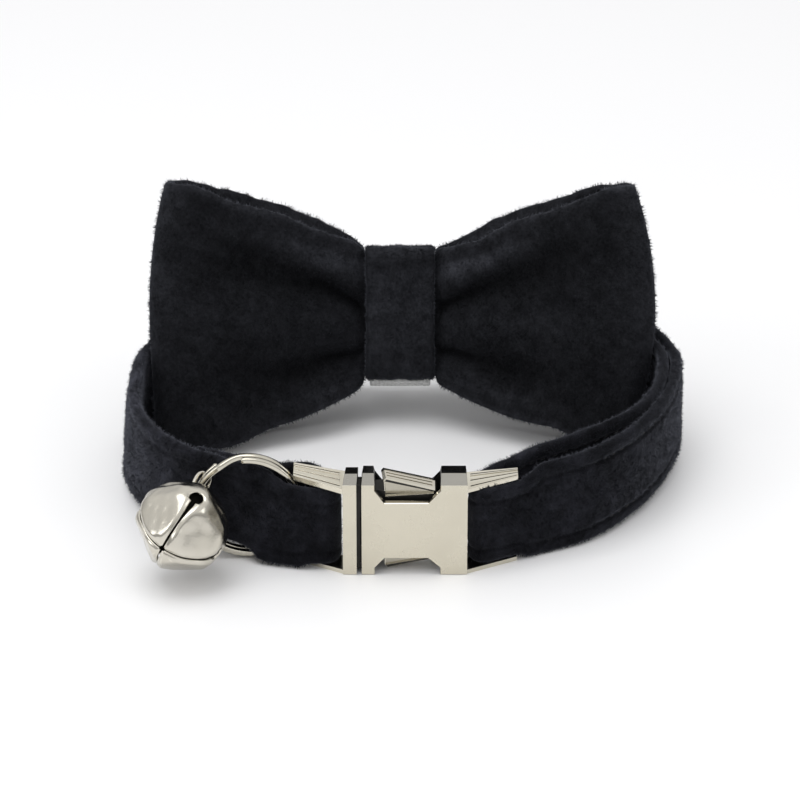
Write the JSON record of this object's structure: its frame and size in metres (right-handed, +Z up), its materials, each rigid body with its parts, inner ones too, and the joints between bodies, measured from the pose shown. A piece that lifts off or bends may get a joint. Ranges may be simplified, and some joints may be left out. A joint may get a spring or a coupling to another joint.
{
  "type": "cat collar",
  "caption": "Velvet cat collar on its edge: flat strap sewn round a metal side release buckle, a jingle bell on a split ring and a padded velvet bow tie held by an elastic loop.",
  "frame": {"origin": "middle of the bounding box's underside, on the surface that the collar stands on", "axes": "+Z up, across the strap's width; -Y towards the buckle's front; +X along the buckle from its tongue to its socket"},
  "size_m": [0.0888, 0.0778, 0.0428],
  "materials": {
    "strap_velvet": "black velvet, deep pile",
    "slide_metal": "plated wire",
    "buckle_metal": "satin nickel plating",
    "tongue_metal": "satin nickel plating",
    "lever_metal": "satin nickel plating",
    "ring_metal": "bright nickel plating",
    "bell_metal": "bright nickel plating",
    "pellet_metal": "plain steel",
    "bow_velvet": "black velvet, deep pile",
    "elastic_white": "woven white elastic"
  },
  "bodies": {
    "collar": {"strap": "strap_velvet", "strap_slide": "slide_metal", "buckle_socket": "buckle_metal", "buckle_tongue": "tongue_metal", "split_ring": "ring_metal", "bell_shell": "bell_metal", "bell_pellet": "pellet_metal", "bow_band": "bow_velvet", "bow_knot": "bow_velvet", "bow_elastic": "elastic_white"},
    "upper_release": {"lever_upper": "lever_metal"},
    "lower_release": {"lever_lower": "lever_metal"}
  },
  "joints": [
    {"name": "upper_release_pivot", "type": "hinge", "parent": "collar", "child": "upper_release", "pos_m": [-0.00682, -0.0262, 0.01155], "axis": [0, 1, 0], "range_deg": [0, 12], "stiffness_Nm_per_rad": 0.002, "springref_deg": -11.46},
    {"name": "lower_release_pivot", "type": "hinge", "parent": "collar", "child": "lower_release", "pos_m": [-0.00682, -0.0262, 0.00295], "axis": [0, -1, 0], "range_deg": [0, 12], "stiffness_Nm_per_rad": 0.002, "springref_deg": -11.46}
  ]
}
